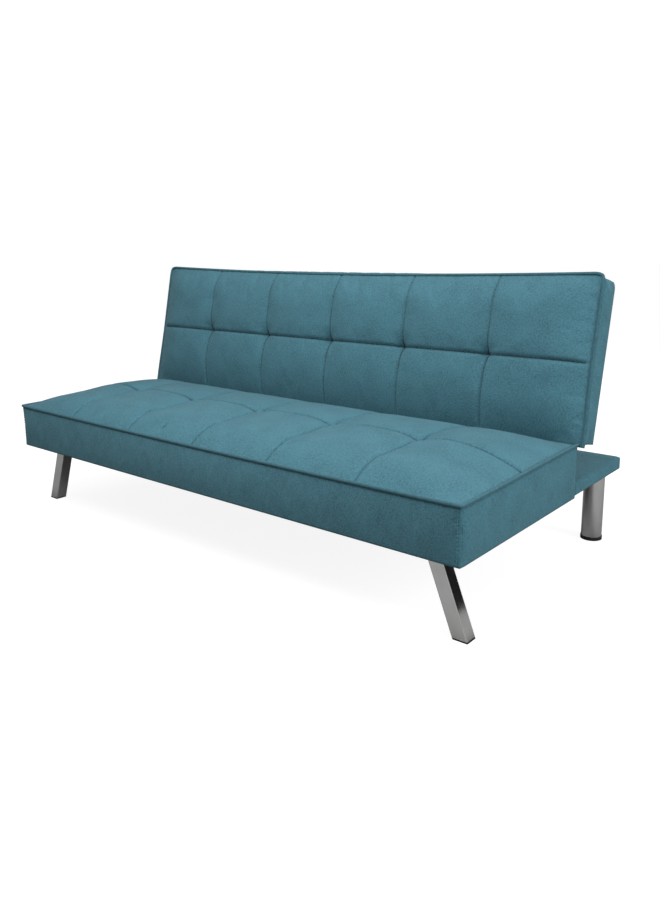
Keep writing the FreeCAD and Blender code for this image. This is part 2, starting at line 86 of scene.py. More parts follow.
def object_from(mesh: bmesh.types.BMesh, name: str, smooth: bool = True) -> bpy.types.Object:
    """Turns a bmesh into an object at the origin.

    Args:
        mesh: the bmesh, which is freed.
        name: name of the piece.
        smooth: whether its faces are shaded smooth.

    Returns:
        The new object, linked to the scene.
    """
    data = bpy.data.meshes.new(name)
    mesh.to_mesh(data)
    mesh.free()
    for polygon in data.polygons:
        polygon.use_smooth = smooth
    piece = bpy.data.objects.new(name, data)
    bpy.context.scene.collection.objects.link(piece)
    return piece


def tube_along(points: list[Vector], radius: float, name: str, closed: bool = False) -> bpy.types.Object:
    """Makes a round tube along a smooth line.

    Args:
        points: control points of the line.
        radius: radius of the tube.
        name: name of the piece.
        closed: whether the line returns to its start.

    Returns:
        The tube as a mesh object at the origin.
    """
    curve = bpy.data.curves.new(name + "_line", "CURVE")
    curve.dimensions = "3D"
    curve.bevel_depth = radius
    curve.bevel_resolution = 3
    curve.use_fill_caps = not closed
    spline = curve.splines.new("POLY")
    spline.points.add(len(points) - 1)
    for target, point in zip(spline.points, points):
        target.co = (*point, 1)
    spline.use_cyclic_u = closed
    holder = bpy.data.objects.new(name + "_holder", curve)
    data = bpy.data.meshes.new_from_object(holder)
    bpy.data.objects.remove(holder)
    bpy.data.curves.remove(curve)
    data.name = name
    for polygon in data.polygons:
        polygon.use_smooth = True
    piece = bpy.data.objects.new(name, data)
    bpy.context.scene.collection.objects.link(piece)
    return piece


def stapled_sheet(name: str, half: tuple[float, float], middle: tuple[float, float],
                  height: Callable[[float, float], float], thickness: float) -> bpy.types.Object:
    """Makes a thin cloth held flat round its edges.

    Args:
        name: name of the piece.
        half: half of its width and of its length.
        middle: its centre.
        height: its height at a place given from -1 to 1 across and along.
        thickness: its thickness.

    Returns:
        The cloth, with its UV map in metres.
    """
    mesh = bmesh.new()
    bmesh.ops.create_grid(mesh, x_segments=96, y_segments=28, size=1.0)
    threads = mesh.loops.layers.uv.new("cloth")
    for vertex in mesh.verts:
        x, y = vertex.co.x, vertex.co.y
        vertex.co = Vector((middle[0] + x * half[0], middle[1] + y * half[1], height(x, y)))
    for face in mesh.faces:
        for loop in face.loops:
            loop[threads].uv = (loop.vert.co.x, loop.vert.co.y)
    bmesh.ops.solidify(mesh, geom=mesh.faces, thickness=thickness)
    bmesh.ops.recalc_face_normals(mesh, faces=mesh.faces)
    return object_from(mesh, name)


def dress(piece: bpy.types.Object, material: bpy.types.Material) -> None:
    """Gives a piece one material in place of those it has."""
    piece.data.materials.clear()
    piece.data.materials.append(material)


# ---- finishes --------------------------------------------------------------------------------------
class NodeBench:
    """Adds and joins the shader nodes of one material."""

    def __init__(self, name: str) -> None:
        """Starts a material with one Principled shader."""
        self.material = bpy.data.materials.new(name)
        self.material.use_nodes = True
        self.tree = self.material.node_tree
        self.shader = self.tree.nodes["Principled BSDF"]

    def node(self, kind: str, **settings: object) -> bpy.types.Node:
        """Adds a node and sets its own properties."""
        made = self.tree.nodes.new("ShaderNode" + kind)
        for key, value in settings.items():
            setattr(made, key, value)
        return made

    def join(self, source: bpy.types.NodeSocket, target: bpy.types.NodeSocket) -> None:
        """Links one socket to another."""
        self.tree.links.new(source, target)

    def math(self, operation: str, *values: object) -> bpy.types.NodeSocket:
        """Adds a Math node.

        Args:
            operation: the node's operation.
            values: sockets or numbers, in the order of its inputs.

        Returns:
            The node's result.
        """
        made = self.node("Math", operation=operation)
        for socket, value in zip(made.inputs, values):
            if isinstance(value, bpy.types.NodeSocket):
                self.join(value, socket)
            else:
                socket.default_value = value
        return made.outputs[0]

    def noise(self, coords: bpy.types.NodeSocket, scale: tuple[float, float, float],
              detail: float = 3.0, rough: float = 0.55) -> bpy.types.NodeSocket:
        """Adds a noise texture stretched by a Mapping node.

        Args:
            coords: the coordinates it reads.
            scale: cycles per metre along each axis.
            detail: the texture's detail.
            rough: the texture's roughness.

        Returns:
            The noise's value.
        """
        mapping = self.node("Mapping")
        mapping.inputs["Scale"].default_value = scale
        self.join(coords, mapping.inputs["Vector"])
        texture = self.node("TexNoise")
        texture.inputs["Scale"].default_value = 1.0
        texture.inputs["Detail"].default_value = detail
        texture.inputs["Roughness"].default_value = rough
        self.join(mapping.outputs[0], texture.inputs["Vector"])
        return texture.outputs[0]

    def ramp(self, value: bpy.types.NodeSocket, stops: list[tuple[float, tuple[float, float, float]]]
             ) -> bpy.types.NodeSocket:
        """Maps a value to colours.

        Args:
            value: the value, from 0 to 1.
            stops: places and linear colours, in rising order.

        Returns:
            The colour.
        """
        made = self.node("ValToRGB")
        elements = made.color_ramp.elements
        while len(elements) < len(stops):
            elements.new(0.5)
        for element, (place, colour) in zip(elements, stops):
            element.position = place
            element.color = (*colour, 1)
        self.join(value, made.inputs[0])
        return made.outputs[0]

    def bump(self, height: bpy.types.NodeSocket, distance: float, strength: float = 1.0,
             under: bpy.types.NodeSocket | None = None) -> bpy.types.NodeSocket:
        """Adds a Bump node.

        Args:
            height: the relief, from 0 to 1.
            distance: depth of the relief in metres.
            strength: share of it that shows.
            under: a normal that this one adds to.

        Returns:
            The normal.
        """
        made = self.node("Bump")
        made.inputs["Distance"].default_value = distance
        made.inputs["Strength"].default_value = strength
        self.join(height, made.inputs["Height"])
        if under is not None:
            self.join(under, made.inputs["Normal"])
        return made.outputs[0]

    def set(self, **values: object) -> None:
        """Sets inputs of the shader, with underscores for spaces."""
        for key, value in values.items():
            self.shader.inputs[key.replace("_", " ")].default_value = value


def mixed(colour: tuple[float, float, float], share: float) -> tuple[float, float, float]:
    """Scales a linear colour."""
    return tuple(channel * share for channel in colour)


@dataclass(frozen=True)
class LinenCloth:
    """Plain-woven upholstery cloth with slubbed yarns, read from the piece's own UV map in metres, darkened by
    painted shade from the piece's seam attribute.
    """

    name: str
    colour: tuple[float, float, float]
    thread: float = 0.0016
    slub: float = 0.16
    sheen: float = 0.08
    relief: float = 0.00035
    melange: float = 0.9

    def material(self) -> bpy.types.Material:
        """Builds the cloth."""
        bench = NodeBench(self.name)
        coords = bench.node("UVMap", uv_map="cloth").outputs[0]
        split = bench.node("SeparateXYZ")
        bench.join(coords, split.inputs[0])
        wobble = bench.noise(coords, (60, 60, 1), 2)
        turns = 2 * math.pi / self.thread
        shift = bench.math("MULTIPLY", wobble, 2.4)
        warp = bench.math("SINE", bench.math("ADD", bench.math("MULTIPLY", split.outputs[0], turns), shift))
        weft = bench.math("SINE", bench.math("ADD", bench.math("MULTIPLY", split.outputs[1], turns), shift))
        over = bench.math("MULTIPLY", warp, weft)
        weave = bench.math("ADD", bench.math("MULTIPLY", over, 0.5), 0.5)
        slub_warp = bench.noise(coords, (620, 90, 1), 3, 0.6)
        slub_weft = bench.noise(coords, (90, 620, 1), 3, 0.6)
        slubs = bench.math("MULTIPLY", bench.math("ADD", slub_warp, slub_weft), 0.5)
        mottle = bench.noise(coords, (14, 14, 1), 4, 0.6)
        tone = bench.math("ADD", bench.math("MULTIPLY", slubs, 0.62), bench.math("MULTIPLY", mottle, 0.26))
        grain = bench.noise(coords, (210, 210, 1), 5, 0.75)
        tone = bench.math("ADD", tone, bench.math("MULTIPLY", weave, 0.12))
        tone = bench.math("ADD", tone, bench.math("MULTIPLY", bench.math("SUBTRACT", grain, 0.5), self.melange))
        # painted shade: the seam attribute darkens the cloth in the sewn creases, at the tufts and the pinch, and
        # in a band under the piping
        seam = bench.node("Attribute", attribute_name="seam").outputs["Fac"]
        line = bench.math("MULTIPLY", bench.math("POWER", seam, 2.0), 0.42)
        tone = bench.math("SUBTRACT", tone, line)
        colour = bench.ramp(tone, [(0.12, mixed(self.colour, 0.22)),
                                   (0.34, mixed(self.colour, 1 - 2.0 * self.slub)),
                                   (0.48, self.colour),
                                   (0.64, mixed(self.colour, 1 + 1.6 * self.slub))])
        bench.join(colour, bench.shader.inputs["Base Color"])
        bench.set(Roughness=0.86, Specular_IOR_Level=0.22, Sheen_Weight=self.sheen, Sheen_Roughness=0.45,
                  Sheen_Tint=(0.75, 0.9, 0.95, 1))
        fine = bench.bump(weave, self.relief, 0.8)
        rough = bench.bump(slubs, self.relief * 2.2, 0.7, fine)
        bench.join(rough, bench.shader.inputs["Normal"])
        return bench.material


@dataclass(frozen=True)
class PipingCloth:
    """The same cloth cut on the bias round a cord, so its threads run aslant."""

    name: str
    colour: tuple[float, float, float]

    def material(self) -> bpy.types.Material:
        """Builds the bias cloth."""
        bench = NodeBench(self.name)
        coords = bench.node("TexCoord").outputs["Object"]
        slant = bench.node("TexWave", wave_type="BANDS", bands_direction="DIAGONAL")
        slant.inputs["Scale"].default_value = 260
        slant.inputs["Distortion"].default_value = 1.5
        bench.join(coords, slant.inputs["Vector"])
        wear = bench.noise(coords, (90, 90, 90), 4)
        tone = bench.math("ADD", bench.math("MULTIPLY", slant.outputs[1], 0.3), bench.math("MULTIPLY", wear, 0.6))
        colour = bench.ramp(tone, [(0.2, mixed(self.colour, 0.7)), (0.5, self.colour),
                                   (0.8, mixed(self.colour, 1.3))])
        bench.join(colour, bench.shader.inputs["Base Color"])
        bench.set(Roughness=0.85, Specular_IOR_Level=0.22, Sheen_Weight=0.05, Sheen_Roughness=0.45)
        bench.join(bench.bump(slant.outputs[1], 0.0004), bench.shader.inputs["Normal"])
        return bench.material


@dataclass(frozen=True)
class Metal:
    """Plated or bare steel with fine scratches and a little unevenness."""

    name: str
    colour: tuple[float, float, float]
    roughness: float
    scratch: float = 0.00002
    metallic: float = 1.0

    def material(self) -> bpy.types.Material:
        """Builds the metal."""
        bench = NodeBench(self.name)
        coords = bench.node("TexCoord").outputs["Object"]
        patches = bench.noise(coords, (22, 22, 22), 4)
        lines = bench.noise(coords, (700, 700, 40), 3)
        rough = bench.node("MapRange")
        rough.inputs["To Min"].default_value = self.roughness * 0.7
        rough.inputs["To Max"].default_value = self.roughness * 1.5
        bench.join(patches, rough.inputs["Value"])
        bench.join(rough.outputs[0], bench.shader.inputs["Roughness"])
        colour = bench.ramp(patches, [(0.3, mixed(self.colour, 0.88)), (0.7, self.colour)])
        bench.join(colour, bench.shader.inputs["Base Color"])
        bench.set(Metallic=self.metallic)
        bench.join(bench.bump(lines, self.scratch, 0.5), bench.shader.inputs["Normal"])
        return bench.material


class Grain(Enum):
    """Surface structure of the plain finishes."""

    WOOD = (9.0, 130.0, 130.0)
    BOARD = (300.0, 300.0, 300.0)
    MOULDED = (900.0, 900.0, 900.0)
    FELT = (520.0, 520.0, 520.0)
    STRAP = (60.0, 900.0, 60.0)


@dataclass(frozen=True)
class GrainedFinish:
    """Timber, board, plastic, felt or strap, told apart by the stretch of its grain."""

    name: str
    colour: tuple[float, float, float]
    grain: Grain
    contrast: float
    roughness: float
    relief: float

    def material(self) -> bpy.types.Material:
        """Builds the finish."""
        bench = NodeBench(self.name)
        coords = bench.node("TexCoord").outputs["Object"]
        streaks = bench.noise(coords, self.grain.value, 5, 0.6)
        patches = bench.noise(coords, (7, 7, 7), 3)
        tone = bench.math("ADD", bench.math("MULTIPLY", streaks, 0.7), bench.math("MULTIPLY", patches, 0.3))
        colour = bench.ramp(tone, [(0.3, mixed(self.colour, 1 - self.contrast)), (0.5, self.colour),
                                   (0.7, mixed(self.colour, 1 + self.contrast))])
        bench.join(colour, bench.shader.inputs["Base Color"])
        bench.set(Roughness=self.roughness, Specular_IOR_Level=0.35)
        bench.join(bench.bump(streaks, self.relief), bench.shader.inputs["Normal"])
        return bench.material


TEAL = (0.056, 0.157, 0.198)

FINISHES = {
    "teal_cloth": LinenCloth("teal_linen", TEAL),
    "piping_cloth": PipingCloth("teal_piping", mixed(TEAL, 0.9)),
    "foam": GrainedFinish("foam", (0.72, 0.66, 0.48), Grain.MOULDED, 0.12, 0.9, 0.0005),
    "black_cloth": GrainedFinish("black_dust_cloth", (0.02, 0.02, 0.022), Grain.FELT, 0.35, 0.95, 0.0003),
    "webbing": GrainedFinish("webbing", (0.05, 0.048, 0.045), Grain.STRAP, 0.4, 0.8, 0.0004),
    "timber": GrainedFinish("pine", (0.55, 0.38, 0.21), Grain.WOOD, 0.3, 0.6, 0.0003),
    "hardboard": GrainedFinish("hardboard", (0.22, 0.13, 0.07), Grain.BOARD, 0.2, 0.7, 0.0002),
    "chrome": Metal("chrome", (0.86, 0.87, 0.85), 0.06),
    "black_plastic": GrainedFinish("black_plastic", (0.018, 0.018, 0.018), Grain.MOULDED, 0.2, 0.5, 0.0001),
    "spring_steel": Metal("spring_steel", (0.33, 0.33, 0.34), 0.32),
    "zinc_steel": Metal("zinc_steel", (0.62, 0.62, 0.58), 0.3),
    "hinge_steel": Metal("hinge_steel", (0.045, 0.045, 0.048), 0.42, metallic=0.6),
}


# ---- cushions --------------------------------------------------------------------------------------
@dataclass
class QuiltedCushion:
    """A cushion with a crowned face, one row of tufts and seams through them, shown lying flat.

    Its own axes are x across, y along the depth from the edge nearest y0, and z up from the piping.
    """

    name: str
    body: str
    half: float               # half of its width
    start: float              # y of its near edge
    depth: float              # near edge to far edge
    plane: float              # z of its piping
    thickness: float          # piping to its underside
    tuft_depth: float         # near edge to the tufts
    tuft_height: float        # tufts above the piping
    seam_height: float        # long seam between two tufts, above the piping
    cross_height: float       # short seams away from the tufts, above the piping
    pillow_height: float      # tops of the pillows, above the piping
    near_rows: int
    far_rows: int
    tuft_reach: float = 0.045  # how far a tuft draws its surroundings in
    side_spread: float = 0.0   # how far the filled sides stand past the timber
    near_spread: float = 0.0   # the same, added at the near edge
    near_reach: float = 0.0    # how far the filled near edge stands past the frame
    far_rise: float = 0.0      # how far the middle of the far edge stands above the piping plane
    column_crease: float = 1.0 # depth of the short creases as a share of the long one's
    piping_stand: float = 0.0015
    side_run: float = 0.17
    near_run: float = 0.10
    far_run: float = 0.15
    side_rings: int = 12
    near_round: bool = True
    far_round: bool = False
    near_bow: float = 0.0     # how far the near edge pulls in at its middle
    far_bow: float = 0.0
    sag: float = 0.0          # how far the near piping dips at its middle
    far_lift: float = 0.0     # how far the far edge stands above the piping plane
    crease: float = 0.0045    # depth of the sewn crease
    crease_width: float = 0.004
    tuft_shade: float = -0.7    # painted shade on a tuft itself, added to its seams' own
    pinch: tuple[float, float] | None = None   # a small pinched crease in one pillow, dented in and darkened with painted shade
    pinch_depth: float = 0.004
    line_width: float = 0.0045  # reach of the painted shade in the long crease
    short_line: float = 0.0035  # the same in the short creases
    bow_height: float = 0.06  # how far down the boxing the edge shifts fade out
    squareness: float = 0.45  # share of a corner's square left after rounding
    pressure: float = 4.0
    slack: float = -0.012
    cap: float = 0.024

    def pitch(self) -> float:
        """Spacing of the tufts."""
        return self.half * TUFT_PITCH_SHARE

    def corner_size(self) -> float:
        """Side of the corner square that is rounded, which is three columns wide."""
        return 3 * 2 * self.half / (PILLOW_COLUMNS * COLUMNS_PER_PILLOW)

    def base(self, x: float, y: float) -> float:
        """Share of the crown reached at a place of the face."""
        side = crown_profile(self.half - abs(x), self.side_run)
        near = crown_profile(y, self.near_run)
        far = crown_profile(self.depth - y, self.far_run)
        return side * near * far

    def seam_level(self, x: float, y: float) -> float:
        """Height of the sewn seams, and of the face under the pillows.

        Args:
            x: across the cushion.
            y: from its near edge.

        Returns:
            The height above the piping.
        """
        share = self.base(x, y)
        along = math.exp(-((y - self.tuft_depth) / 0.07) ** 2)
        level = self.cross_height + (self.seam_height - self.cross_height) * along
        nearest = min((math.hypot(x - index * self.pitch(), y - self.tuft_depth) for index in range(-2, 3)))
        dip = (self.seam_height - self.tuft_height) * math.exp(-nearest / self.tuft_reach)
        return share * level - dip

    def swell(self, x: float, y: float) -> float:
        """Share of a pillow's rise between its seams, from 0 to 1."""
        column = (x / self.pitch()) % 1.0
        if abs(x) >= self.half - 1e-6:
            column = 0.0
        if y < self.tuft_depth:
            row = y / self.tuft_depth
        else:
            row = (y - self.tuft_depth) / (self.depth - self.tuft_depth)
        across = max(1 - abs(2 * column - 1) ** 5, 0.0) ** 0.7
        along = max(1 - abs(2 * row - 1) ** 5, 0.0) ** 0.7
        return across * along

    def rise(self, x: float, y: float) -> float:
        """Height of the finished face above the piping."""
        level = self.seam_level(x, y)
        top = self.pillow_height * min(1.0, 0.35 + 0.65 * self.base(x, y))
        return level + max(top - self.cross_height, 0.004) * self.swell(x, y)

    def edge_shift(self, x: float, y: float) -> Vector:
        """How the near and far edges pull in and dip in their middle.

        Args:
            x: across the cushion.
            y: from its near edge.

        Returns:
            The move in the cushion's own axes.
        """
        middle = max(1 - (x / self.half) ** 2, 0.0)
        near = smooth_step(1 - y / (0.5 * self.depth))
        far = smooth_step(1 - (self.depth - y) / (0.5 * self.depth))
        outer = (x / self.half) ** 2
        lift = (self.far_rise + (self.far_lift - self.far_rise) * outer) * smooth_step(y / self.depth)
        spread = (self.side_spread + self.near_spread * near) * smooth_step(3 * abs(x) / self.half - 2)
        pull = (self.near_bow * near - self.far_bow * far) * middle - self.near_reach * smooth_step(1 - y / 0.05)
        return Vector((math.copysign(spread, x), pull, lift - self.sag * near * middle))

    def round_corner(self, x: float, y: float, size: float) -> tuple[float, float]:
        """Rounds the plan of a square corner.

        Args:
            x: across the cushion.
            y: from its near edge.
            size: side of the corner square that becomes a quarter disc.

        Returns:
            The place after rounding.
        """
        inner_x = self.half - size
        near, far = size, self.depth - size
        a = (abs(x) - inner_x) / size
        if a <= 0:
            return x, y
        if y < near and self.near_round:
            b, middle, way = (near - y) / size, near, -1
        elif y > far and self.far_round:
            b, middle, way = (y - far) / size, far, 1
        else:
            return x, y
        keep = self.squareness
        new_x = inner_x + size * a * (keep + (1 - keep) * math.sqrt(1 - b * b / 2))
        new_y = middle + way * size * b * (keep + (1 - keep) * math.sqrt(1 - a * a / 2))
        return math.copysign(new_x, x), new_y

    def is_seam(self, x: float, y: float) -> bool:
        """Whether a place of the face lies on a sewn seam."""
        off_column = abs((x / self.pitch()) - round(x / self.pitch())) * self.pitch()
        on_column = off_column < 1e-4 and abs(x) < self.half - 1e-4
        on_row = abs(y - self.tuft_depth) < 1e-4
        return on_column or on_row

    def seam_share(self, x: float, y: float) -> float:
        """How near a place of the face is to a sewn line, from 0 to 1, fading at the piping."""
        edge = min(self.half - abs(x), y, self.depth - y)
        row = abs(y - self.tuft_depth)
        column = self.column_gap(x)
        share = max(self.column_crease * math.exp(-(column / self.crease_width) ** 2),
                    math.exp(-(row / self.crease_width) ** 2))
        return share * smooth_step(edge / 0.012)

    def column_gap(self, x: float) -> float:
        """Distance from a place to the nearest short seam."""
        nearest = min(max(round(x / self.pitch()), -2), 2)
        return abs(x - nearest * self.pitch())

    def shade(self, x: float, y: float) -> float:
        """How much painted shade a sewn crease gets in the cloth's colour, from 0 to 1: darkest beside a tuft,
        and gone on it.

        Args:
            x: across the cushion.
            y: from its near edge.

        Returns:
            The share of full painted shade.
        """
        edge = min(self.half - abs(x), y, self.depth - y)
        column, row = self.column_gap(x), abs(y - self.tuft_depth)
        tuft = math.hypot(column, row)
        # painted shade along the long seam and, weaker away from the tufts, along the short seams
        line = max(math.exp(-(row / self.line_width) ** 2),
                   math.exp(-(column / self.short_line) ** 2) * (0.6 + 0.4 * math.exp(-row / 0.06)))
        line *= smooth_step(edge / 0.012) * (1 + self.tuft_shade * math.exp(-(tuft / 0.010) ** 2))
        return min(max(line, self.pinch_share(x, y)), 1.0)

    def pinch_share(self, x: float, y: float) -> float:
        """How near a place is to the small pinched crease, from 0 to 1."""
        if self.pinch is None:
            return 0.0
        return math.exp(-((x - self.pinch[0]) / 0.005) ** 2 - ((y - self.pinch[1]) / 0.011) ** 2)

    def above_ring(self, place: Vector) -> float:
        """Height of a point above the piping beside it."""
        return place.z - self.edge_shift(place.x, place.y).z

    def shell(self) -> tuple[bpy.types.Object, dict[str, list[int]]]:
        """Builds the face and its boxing as one open grid.

        Returns:
            The object in the cushion's own axes, and the vertex numbers of its seams, ring and hem.
        """
        mesh = bmesh.new()
        columns = PILLOW_COLUMNS * COLUMNS_PER_PILLOW
        rows = self.near_rows + self.far_rows
        bmesh.ops.create_grid(mesh, x_segments=columns, y_segments=rows, size=1.0)
        corner = self.corner_size()
        threads = mesh.loops.layers.uv.new("cloth")
        seams = []
        for vertex in mesh.verts:
            x = vertex.co.x * self.half
            row = round((vertex.co.y + 1) / 2 * rows)
            if row <= self.near_rows:
                y = row / self.near_rows * self.tuft_depth
            else:
                y = self.tuft_depth + (row - self.near_rows) / self.far_rows * (self.depth - self.tuft_depth)
            if self.is_seam(x, y):
                seams.append(vertex)
            sewn = self.is_seam(x, y)
            z = self.seam_level(x, y) if sewn else self.seam_level(x, y) + 0.6 * (
                self.rise(x, y) - self.seam_level(x, y))
            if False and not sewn:
                z = self.rise(x, y)
            on_edge = abs(x) > self.half - 1e-5 or y < 1e-5 or y > self.depth - 1e-5
            x, y = self.round_corner(x, y, corner)
            vertex.co = Vector((x, y, 0 if on_edge else z))
        for face in mesh.faces:
            for loop in face.loops:
                loop[threads].uv = (loop.vert.co.x, loop.vert.co.y)
        ring = [edge for edge in mesh.edges if edge.is_boundary]
        ring_vertices = {vertex for edge in ring for vertex in edge.verts}
        edges = ring
        hem = set()
        for index in range(self.side_rings):
            made = bmesh.ops.extrude_edge_only(mesh, edges=edges)["geom"]
            new = {item for item in made if isinstance(item, bmesh.types.BMVert)}
            for vertex in new:
                vertex.co.z = -(index + 1) / self.side_rings * self.thickness
            edges = [item for item in made if isinstance(item, bmesh.types.BMEdge)
                     and item.is_boundary and all(end in new for end in item.verts)]
            hem = new
        for face in mesh.faces:
            face.normal_update()
        for face in mesh.faces:
            if any(abs(loop.vert.co.z) > 1e-6 and loop.vert.co.z < 0 for loop in face.loops):
                flat = abs(face.normal.y) >= abs(face.normal.x)
                for loop in face.loops:
                    place = loop.vert.co
                    loop[threads].uv = (place.x if flat else place.y, place.z)
        bmesh.ops.recalc_face_normals(mesh, faces=mesh.faces)
        for vertex in mesh.verts:
            fade = smooth_step(1 + min(vertex.co.z, 0.0) / self.bow_height)
            vertex.co += self.edge_shift(vertex.co.x, vertex.co.y) * fade
        mesh.verts.index_update()
        groups = {"seams": [vertex.index for vertex in seams],
                  "ring": [vertex.index for vertex in ring_vertices],
                  "hem": [vertex.index for vertex in hem]}
        return object_from(mesh, self.name), groups

    def inflate(self, piece: bpy.types.Object, groups: dict[str, list[int]]) -> None:
        """Lets the filling push the sewn cover out, and keeps the result.

        Args:
            piece: the open shell.
            groups: the vertices that thread and staples hold.
        """
        held = piece.vertex_groups.new(name="held")
        held.add(sorted(set(groups["seams"] + groups["ring"] + groups["hem"])), 1.0, "REPLACE")
        rest = [vertex.co.copy() for vertex in piece.data.vertices]
        cloth = piece.modifiers.new("filling", "CLOTH")
        cloth.settings.vertex_group_mass = "held"
        cloth.settings.quality = 6
        cloth.settings.mass = 0.3
        cloth.settings.tension_stiffness = 25
        cloth.settings.compression_stiffness = 25
        cloth.settings.shear_stiffness = 8
        cloth.settings.bending_stiffness = 0.6
        cloth.settings.use_pressure = True
        cloth.settings.uniform_pressure_force = self.pressure
        cloth.settings.shrink_min = self.slack
        cloth.settings.effector_weights.gravity = 0
        cloth.collision_settings.use_collision = False
        cloth.collision_settings.use_self_collision = False
        cloth.point_cache.frame_start = 1
        cloth.point_cache.frame_end = 20
        for number in range(1, 21):
            bpy.context.scene.frame_set(number)
        evaluated = piece.evaluated_get(bpy.context.evaluated_depsgraph_get())
        moved = [vertex.co.copy() for vertex in evaluated.data.vertices]
        piece.modifiers.remove(cloth)
        piece.vertex_groups.clear()
        for vertex, old, new in zip(piece.data.vertices, rest, moved):
            step = new - old
            if step.length > self.cap:
                step *= self.cap / step.length
            vertex.co = old + step
        bpy.context.scene.frame_set(1)

    def sew(self, piece: bpy.types.Object) -> None:
        """Subdivides the cover, draws its seams in, paints shade into its creases and a shadow under its piping,
        and closes its underside.

        Args:
            piece: the filled shell.
        """
        mesh = bmesh.new()
        mesh.from_mesh(piece.data)
        # a float layer of painted shade, which the cloth's colour reads
        sewn = mesh.verts.layers.float.new("seam")
        bmesh.ops.subdivide_edges(mesh, edges=mesh.edges, cuts=1, use_grid_fill=True, smooth=0.0)
        face_top = [vertex for vertex in mesh.verts if self.above_ring(vertex.co) > -0.002]
        bmesh.ops.smooth_vert(mesh, verts=face_top, factor=0.35, use_axis_x=True, use_axis_y=True,
                              use_axis_z=True)
        for vertex in face_top:
            # painted shade in the sewn creases, at the tufts and in the pinch
            vertex[sewn] = self.shade(vertex.co.x, vertex.co.y)
            vertex.co.z -= self.crease * self.seam_share(vertex.co.x, vertex.co.y)
            vertex.co.z -= self.pinch_depth * self.pinch_share(vertex.co.x, vertex.co.y)
        top = set(face_top)
        # painted shadow in a band of the boxing just under the piping
        for vertex in (end for end in mesh.verts if end not in top):
            vertex[sewn] = 0.8 * smooth_step(1 + (self.above_ring(vertex.co) + 0.004) / 0.006)
        hem = [edge for edge in mesh.edges if edge.is_boundary]
        made = bmesh.ops.extrude_edge_only(mesh, edges=hem)["geom"]
        turned = {item for item in made if isinstance(item, bmesh.types.BMVert)}
        inset = 0.02
        for vertex in turned:
            vertex.co.x *= 1 - inset / self.half
            vertex.co.y += inset * (1 - 2 * vertex.co.y / self.depth)
            vertex.co.z += 0.004
        rim = [item for item in made if isinstance(item, bmesh.types.BMEdge)
               and item.is_boundary and all(end in turned for end in item.verts)]
        bmesh.ops.holes_fill(mesh, edges=rim, sides=0)
        bmesh.ops.recalc_face_normals(mesh, faces=mesh.faces)
        mesh.to_mesh(piece.data)
        mesh.free()

    def placement(self) -> Matrix:
        """Takes the cushion's own axes to the frame."""
        return Matrix.Translation((0, self.start, self.plane))

    def piping_line(self) -> list[Vector]:
        """Points of the piping round the near or far edge and both sides, in the cushion's own axes."""
        corner, side_steps, turn_steps = self.corner_size(), 48, 10
        edge_y, open_y, way = (self.depth, 0.0, 1) if self.far_round else (0.0, self.depth, -1)
        turn_y, inner = edge_y - way * corner, self.half - corner
        stops = [(-self.half, open_y, 0), (-self.half, turn_y, side_steps), (-self.half, edge_y, turn_steps),
                 (-inner, edge_y, turn_steps), (inner, edge_y, 2 * side_steps), (self.half, edge_y, turn_steps),
                 (self.half, turn_y, turn_steps), (self.half, open_y, side_steps)]
        points = [Vector((-self.half, open_y, 0))]
        for (x, y, _), (next_x, next_y, count) in zip(stops, stops[1:]):
            for step in range(1, count + 1):
                share = step / count
                place = self.round_corner(x + (next_x - x) * share, y + (next_y - y) * share, corner)
                points.append(Vector((*place, 0)))
        stand = Vector((0, 0, self.piping_stand))
        return [point + self.edge_shift(point.x, point.y) + stand for point in points]

    def build(self, cloth: bpy.types.Material, welt: bpy.types.Material) -> list[bpy.types.Object]:
        """Makes the cushion and its piping, and puts both in place.

        Args:
            cloth: the cover's material.
            welt: the piping's material.

        Returns:
            The cushion and its piping.
        """
        cushion, groups = self.shell()
        self.inflate(cushion, groups)
        self.sew(cushion)
        dress(cushion, cloth)
        cord = tube_along(self.piping_line(), PIPING_RADIUS, self.name + "_piping")
        dress(cord, welt)
        for piece in (cushion, cord):
            piece.data.transform(self.placement())
            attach(piece, self.body)
        return [cushion, cord]


@dataclass
class SeatCushion(QuiltedCushion):
    """The seat, which replaces its foam, panel and boxing."""

    stitch: float = 0.0055     # length of one stitch
    stitch_gap: float = 0.0035
    stitch_radius: float = 0.0006
    stitch_inset: float = 0.008

    def corner_stitches(self, thread: bpy.types.Material) -> bpy.types.Object:
        """Sews two rows of stitches down each front corner.

        Args:
            thread: the thread's material.

        Returns:
            All the stitches as one piece.
        """
        mesh = bmesh.new()
        step = self.stitch + self.stitch_gap
        count = int((self.thickness - 0.02) / step)
        for side in (-1, 1):
            for on_front in (True, False):
                for index in range(count):
                    height = -0.012 - index * step
                    fade = smooth_step(1 + height / self.bow_height)
                    if on_front:
                        place = Vector((side * (self.half - self.stitch_inset), 0, height))
                        place += self.edge_shift(place.x, 0) * fade - Vector((0, 0.0006, 0))
                    else:
                        place = Vector((side * (self.half + 0.0006), self.stitch_inset, height))
                    made = bmesh.ops.create_cone(mesh, segments=6, radius1=self.stitch_radius,
                                                 radius2=self.stitch_radius, depth=self.stitch, cap_ends=True)
                    bmesh.ops.translate(mesh, verts=made["verts"], vec=place)
        piece = object_from(mesh, "corner_stitches")
        piece.data.transform(self.placement())
        dress(piece, thread)
        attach(piece, self.body)
        return piece

    def dress_frame(self, made: list[bpy.types.Object]) -> None:
        """Hides the seat's foam, top cover, boxing and piping nodes, which its pieces replace."""
        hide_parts("seat_foam", "seat_top_cover", "seat_boxing")
        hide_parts("seat_piping")


